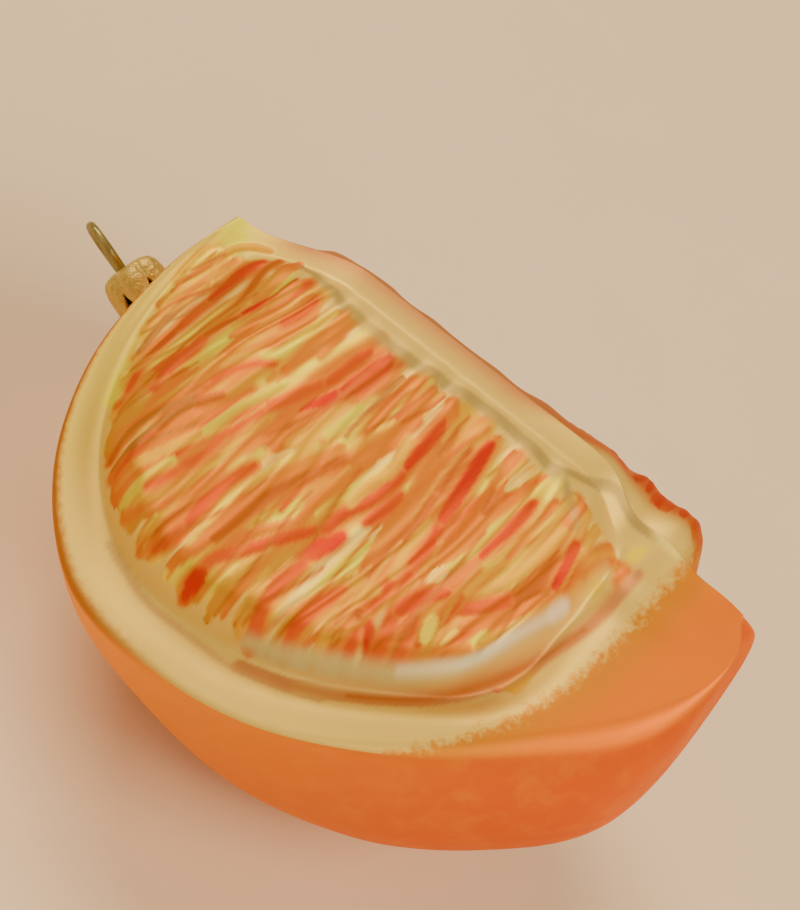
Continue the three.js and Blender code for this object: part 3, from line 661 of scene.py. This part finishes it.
# Stem end: the spray ran out to a thin brown line on the rim.
rim_line = w.calc("MULTIPLY", w.ramp(at_rim, 1.7, 0.3), w.ramp(from_rim, -2.0, -0.4))
rim_line = w.calc("MULTIPLY", rim_line, w.ramp(along, -4.0, -20.0, 0.0, 0.85))
skin = w.mix(rim_line, skin, (0.440, 0.140, 0.015))
w.tree.links.new(skin, shader.inputs["Base Color"])
shader.inputs["Metallic"].default_value = 0.45
shader.inputs["Roughness"].default_value = 0.5
shader.inputs["Specular IOR Level"].default_value = 0.12
shader.inputs["Specular Tint"].default_value = (1.0, 0.6, 0.2, 1)
bump = w.node("ShaderNodeBump", {"Height": grain, "Strength": 0.12, "Distance": 0.0002})
w.tree.links.new(bump.outputs[0], shader.inputs["Normal"])
glass_quarter.data.materials.append(paint)
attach(glass_quarter, "root")
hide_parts("glass_wedge")

# ---------------------------------------------------------------------------------------------
# Glass neck: the short open tube that the shell was blown through, silvered and unpainted. Its
# near-black colour is painted shade: the dark inside of the cap, which shows through the cap's
# notches. It grows out of the stem end of the wedge and carries the cap.
# ---------------------------------------------------------------------------------------------
NECK_TILT = math.radians(19)
NECK_DROP, NECK_START = 15.6, -36.1  # below the ridge, and along it
LOOP_ACROSS = Vector((0.4, 0, 0.9))  # the loop's width lies nearest to this direction
# The tube as (radius, height), from inside the wedge to its round end.
NECK_PROFILE = [(3.6, -6), (3.6, -0.4), (3.1, 0.3), (2.75, 0.9), (2.45, 1.5), (2.3, 2.2),
                (2.3, 5.8), (2.2, 6.05), (1.9, 6.2)]
NECK_SEGMENTS = 72
neck_axis = Vector((0, -math.cos(NECK_TILT), 0)) + Vector(MIDDLE_OUT) * math.sin(NECK_TILT)
loop_across = (LOOP_ACROSS - neck_axis * LOOP_ACROSS.dot(neck_axis)).normalized()
neck_side = neck_axis.cross(loop_across)
neck_root = Vector(MIDDLE_OUT) * -NECK_DROP
neck_root.y = NECK_START
neck_frame = rest @ Matrix.Translation(neck_root) @ Matrix((
    (loop_across.x, neck_side.x, neck_axis.x, 0),
    (loop_across.y, neck_side.y, neck_axis.y, 0),
    (loop_across.z, neck_side.z, neck_axis.z, 0),
    (0, 0, 0, 1),
))


def turned(profile, segments):
    """Points and faces of a profile of (radius, height) turned about the neck's axis."""
    points, faces = [], []
    for k in range(segments):
        angle = 2 * math.pi * k / segments
        for radius, height in profile:
            points.append((radius * math.cos(angle), radius * math.sin(angle), height))
    rows = len(profile)
    for k in range(segments):
        a, b = k * rows, (k + 1) % segments * rows
        faces += [(a + r, b + r, b + r + 1, a + r + 1) for r in range(rows - 1)]
    faces.append([k * rows for k in range(segments)][::-1])
    faces.append([k * rows + rows - 1 for k in range(segments)])
    return points, faces


def placed(points):
    """Points of the neck's own frame, in millimetres, brought to where the neck is."""
    return [neck_frame @ Vector(p) for p in points]


neck_points, neck_faces = turned(NECK_PROFILE, NECK_SEGMENTS)
glass_neck = make_piece("glass_neck", placed(neck_points), neck_faces)
neck_shade_paint, w, shader = new_material("neck_dark_as_painted_shade")
where = w.node("ShaderNodeTexCoord").outputs["Object"]
# Near black: painted shade for the dark inside of the cap.
colour, smoke = w.mottled(where, 900.0, 3.0, 0.5, (0.012, 0.010, 0.008), (0.040, 0.034, 0.026))
w.tree.links.new(colour, shader.inputs["Base Color"])
w.tree.links.new(w.ramp(smoke, 0.3, 0.7, 0.25, 0.5), shader.inputs["Roughness"])
glass_neck.data.materials.append(neck_shade_paint)
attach(glass_neck, "root")
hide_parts("glass_wedge")

# ---------------------------------------------------------------------------------------------
# Crown cap: a thin stamped cup of gold-coloured metal, six petals around a low crown.
# It is pushed over the neck and holds by its spring legs.
# ---------------------------------------------------------------------------------------------
CAP_TOP, CAP_HEIGHT, CAP_RADIUS, CAP_WALL = 7.1, 4.9, 3.3, 0.5
CAP_ROOF = 0.6
# Half of the cap's section as (beyond the radius, share of the height).
CAP_PROFILE = [(0, 0), (0.15, 0.18), (0.15, 0.4), (0.1, 0.6), (-0.1, 0.8), (-0.5, 0.94),
               (-1.2, 1)]
PETALS = 6
HALF_PETAL = math.radians(30)
PETAL_BULGE, PETAL_VALLEY, PETAL_FADE = 0.55, 0.4, 1.6
NOTCH_HEIGHT, NOTCH_HALF_WIDTH = 2.6, 1.6


def petal_sector(columns=24, rows=26):
    """One sixth of the cap, outside and inside, with half a notch at each side."""
    past = [p for p, share in CAP_PROFILE]
    share = [s for p, s in CAP_PROFILE]
    outer, inner = [], []
    for c in range(columns + 1):
        angle = math.radians(-30 + 60 * c / columns)
        from_edge = (1 - abs(angle) / HALF_PETAL) * CAP_RADIUS * HALF_PETAL
        notch = NOTCH_HEIGHT * max(0, 1 - from_edge / NOTCH_HALF_WIDTH) ** 2
        for r in range(rows + 1):
            up = notch + (CAP_HEIGHT - notch) * r / rows
            radius = CAP_RADIUS + np.interp(up / CAP_HEIGHT, share, past)
            petal = abs(math.cos(PETALS / 2 * angle)) - PETAL_VALLEY
            swell = PETAL_BULGE * petal * smooth((radius - CAP_RADIUS + PETAL_FADE) / PETAL_FADE)
            outer.append((radius + swell, angle, up))
            wall = CAP_WALL * min(1, 0.35 + up / 1.5)
            inner.append((min(radius + swell - 0.3, CAP_RADIUS - wall + 0.2), angle,
                          min(up, CAP_HEIGHT - CAP_ROOF)))
    return outer, inner, columns, rows


outer, inner, columns, rows = petal_sector()
sector_points, sector_faces = [], []
for shell in (outer, inner):
    for radius, angle, up in shell:
        sector_points.append((radius * math.cos(angle), radius * math.sin(angle),
                              CAP_TOP - CAP_HEIGHT + up))
count = (columns + 1) * (rows + 1)
middle_outer, middle_inner = 2 * count, 2 * count + 1
sector_points += [(0, 0, CAP_TOP + 0.05), (0, 0, CAP_TOP - CAP_ROOF)]
for c in range(columns):
    a, b = c * (rows + 1), (c + 1) * (rows + 1)
    for r in range(rows):
        sector_faces.append((a + r, b + r, b + r + 1, a + r + 1))
        sector_faces.append((count + a + r, count + a + r + 1, count + b + r + 1, count + b + r))
    sector_faces.append((a, count + a, count + b, b))
    sector_faces.append((a + rows, b + rows, middle_outer))
    sector_faces.append((count + b + rows, count + a + rows, middle_inner))
crown_cap = make_piece("crown_cap_gold", sector_points, sector_faces)

tree = bpy.data.node_groups.new("petals_around", "GeometryNodeTree")
tree.interface.new_socket("Geometry", in_out="INPUT", socket_type="NodeSocketGeometry")
petals_socket = tree.interface.new_socket("Petals", in_out="INPUT", socket_type="NodeSocketInt")
metal_socket = tree.interface.new_socket("Metal", in_out="INPUT",
                                         socket_type="NodeSocketMaterial")
tree.interface.new_socket("Geometry", in_out="OUTPUT", socket_type="NodeSocketGeometry")
w = Wiring(tree)
given = w.node("NodeGroupInput")
line_of_points = w.node("GeometryNodePoints", {"Count": given.outputs["Petals"]})
index = w.node("GeometryNodeInputIndex").outputs[0]
turn = w.calc("MULTIPLY", index, w.calc("DIVIDE", 2 * math.pi, given.outputs["Petals"]))
around = w.node("ShaderNodeCombineXYZ", {2: turn}).outputs[0]
instances = w.node("GeometryNodeInstanceOnPoints", {
    "Points": line_of_points.outputs[0], "Instance": given.outputs["Geometry"],
    "Rotation": around,
})
real = w.node("GeometryNodeRealizeInstances", {0: instances.outputs[0]})
welded = w.node("GeometryNodeMergeByDistance", {"Geometry": real.outputs[0], "Distance": 2e-6})
finished = w.node("GeometryNodeSetMaterial", {
    "Geometry": welded.outputs[0], "Material": given.outputs["Metal"],
})
result = w.node("NodeGroupOutput")
w.tree.links.new(finished.outputs[0], result.inputs[0])

gold, w, shader = new_material("matte_gold")
where = w.node("ShaderNodeTexCoord").outputs["Object"]
colour, crinkle = w.mottled(where, 1500.0, 3.0, 0.6, (0.420, 0.300, 0.055), (0.760, 0.560, 0.100))
w.tree.links.new(colour, shader.inputs["Base Color"])
shader.inputs["Metallic"].default_value = 0.45
shader.inputs["Roughness"].default_value = 0.42
bump = w.node("ShaderNodeBump", {"Height": crinkle, "Strength": 0.8, "Distance": 0.0003})
w.tree.links.new(bump.outputs[0], shader.inputs["Normal"])


def grow(piece, tree, values):
    """Runs a Geometry Nodes tree on a piece and keeps what it makes as the piece's mesh."""
    modifier = piece.modifiers.new(tree.name, "NODES")
    modifier.node_group = tree
    for socket, value in values.items():
        modifier[socket.identifier] = value
    piece.update_tag()
    bpy.context.view_layer.update()
    evaluated = piece.evaluated_get(bpy.context.evaluated_depsgraph_get())
    mesh = bpy.data.meshes.new_from_object(evaluated)
    name = piece.name
    if piece.type != "MESH":
        bpy.data.objects.remove(piece)
        piece = bpy.data.objects.new(name, mesh)
        bpy.context.scene.collection.objects.link(piece)
    else:
        piece.modifiers.clear()
        piece.data = mesh
    mesh.name = name
    return piece


crown_cap = grow(crown_cap, tree, {petals_socket: PETALS, metal_socket: gold})
crown_cap.data.transform(Matrix.Scale(MM, 4) @ neck_frame @ Matrix.Scale(1 / MM, 4))
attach(crown_cap, "root")
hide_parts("crown_cap")

# ---------------------------------------------------------------------------------------------
# Wire loop: a springy brass wire, bent to a low bow with two legs that pass the cap's top.
# The ornament hangs by it.
# ---------------------------------------------------------------------------------------------
WIRE_DIAMETER, LEG_SPREAD, LEG_BACK = 1.05, 1.6, 0.5
LOOP_HALF_WIDTH, LOOP_HEIGHT = 2.5, 5.9
LOOP_TWIST = math.radians(9)  # the loop is turned a little in the cap
# Half of the bow as (share of the half width, share of the height).
LOOP_PROFILE = [(0.93, 0.42), (0.84, 0.76), (0.45, 0.96)]
half = [(LEG_SPREAD, -CAP_ROOF), (LEG_SPREAD, 0.3)]
half += [(across * LOOP_HALF_WIDTH, up * LOOP_HEIGHT) for across, up in LOOP_PROFILE]
knots = [(-x, z) for x, z in half] + [(0, LOOP_HEIGHT)] + half[::-1]
knots = np.array([(x, -LEG_BACK, CAP_TOP + z) for x, z in knots])
path = through(knots, np.linspace(0, 1, 121))
twist = Matrix.Rotation(LOOP_TWIST, 4, "Z")
wire_line = bpy.data.curves.new("wire_line", "CURVE")
wire_line.dimensions = "3D"
spline = wire_line.splines.new("POLY")
spline.points.add(len(path) - 1)
for point, place in zip(spline.points, path):
    point.co = (*((neck_frame @ twist @ Vector(place)) * MM), 1)
wire_loop = bpy.data.objects.new("brass_wire_loop", wire_line)
bpy.context.scene.collection.objects.link(wire_loop)

tree = bpy.data.node_groups.new("wire_along_line", "GeometryNodeTree")
tree.interface.new_socket("Geometry", in_out="INPUT", socket_type="NodeSocketGeometry")
radius_socket = tree.interface.new_socket("Radius", in_out="INPUT", socket_type="NodeSocketFloat")
wire_socket = tree.interface.new_socket("Wire", in_out="INPUT", socket_type="NodeSocketMaterial")
tree.interface.new_socket("Geometry", in_out="OUTPUT", socket_type="NodeSocketGeometry")
w = Wiring(tree)
given = w.node("NodeGroupInput")
circle = w.node("GeometryNodeCurvePrimitiveCircle", {
    "Resolution": 24, "Radius": given.outputs["Radius"],
})
swept = w.node("GeometryNodeCurveToMesh", {
    "Curve": given.outputs["Geometry"], "Profile Curve": circle.outputs[0], "Fill Caps": True,
})
soft = w.node("GeometryNodeSetShadeSmooth", {0: swept.outputs[0]})
real = w.node("GeometryNodeRealizeInstances", {0: soft.outputs[0]})
finished = w.node("GeometryNodeSetMaterial", {
    "Geometry": real.outputs[0], "Material": given.outputs["Wire"],
})
result = w.node("NodeGroupOutput")
w.tree.links.new(finished.outputs[0], result.inputs[0])

brass, w, shader = new_material("brass_wire")
where = w.node("ShaderNodeTexCoord").outputs["Object"]
colour, tarnish = w.mottled(where, 700.0, 3.0, 0.6, (0.150, 0.120, 0.035), (0.420, 0.350, 0.110))
w.tree.links.new(colour, shader.inputs["Base Color"])
shader.inputs["Metallic"].default_value = 0.5
shader.inputs["Roughness"].default_value = 0.35
bump = w.node("ShaderNodeBump", {"Height": tarnish, "Strength": 0.5, "Distance": 0.0002})
w.tree.links.new(bump.outputs[0], shader.inputs["Normal"])
wire_loop = grow(wire_loop, tree, {radius_socket: WIRE_DIAMETER / 2 * MM, wire_socket: brass})
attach(wire_loop, "root")
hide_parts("wire_loop")

# ---------------------------------------------------------------------------------------------
# The plain surface that the ornament lies on, the lights and the camera.
# ---------------------------------------------------------------------------------------------
FLOOR_EDGE = 1500
floor = make_piece("floor", [(-FLOOR_EDGE, -FLOOR_EDGE, 0), (FLOOR_EDGE, -FLOOR_EDGE, 0),
                             (FLOOR_EDGE, FLOOR_EDGE, 0), (-FLOOR_EDGE, FLOOR_EDGE, 0)],
                   [(0, 1, 2, 3)])
paper, w, shader = new_material("paper")
where = w.node("ShaderNodeTexCoord").outputs["Object"]
colour = w.mottled(where, 60.0, 2.0, 0.5, (0.820, 0.660, 0.470), (0.860, 0.695, 0.495))[0]
w.tree.links.new(colour, shader.inputs["Base Color"])
shader.inputs["Roughness"].default_value = 0.8
floor.data.materials.append(paper)

world = bpy.data.worlds.new("room_light")
world.use_nodes = True
background = world.node_tree.nodes["Background"]
background.inputs["Color"].default_value = (1.0, 0.72, 0.50, 1)
background.inputs["Strength"].default_value = 0.18
bpy.context.scene.world = world

# Four soft lights in metres and watts: daylight from two windows, and what two walls throw back.
LIGHTS = {
    "window_right": ((0.83, -0.05, 0.87), 9.6),
    "window_left": ((-0.72, 0.27, 0.92), 12.8),
    "wall_in_front": ((0.75, -0.6, 0.75), 5.6),
    "wall_at_left": ((-0.6, -0.8, 0.7), 2.4),
}
LIGHT_SIZE, LIGHT_COLOUR = 0.7, (1.0, 0.82, 0.58)
LIT_POINT = Vector((0, 0, 0.02))
for name, (place, power) in LIGHTS.items():
    light = bpy.data.lights.new(name, "AREA")
    light.shape = "DISK"
    light.size, light.energy, light.color = LIGHT_SIZE, power, LIGHT_COLOUR
    lamp = bpy.data.objects.new(name, light)
    bpy.context.scene.collection.objects.link(lamp)
    lamp.location = place
    lamp.rotation_euler = (LIT_POINT - Vector(place)).to_track_quat("-Z", "Y").to_euler()

# The camera stands where the photo was taken from.
camera = bpy.data.cameras.new("camera")
camera.lens = 119.42
camera_object = bpy.data.objects.new("camera", camera)
bpy.context.scene.collection.objects.link(camera_object)
camera_object.location = (0.012223, -0.246425, 0.248927)
camera_object.rotation_euler = [math.radians(a) for a in (41.0464, -30.1740, 34.5226)]
camera.clip_start, camera.clip_end = 0.01, 20
bpy.context.scene.camera = camera_object
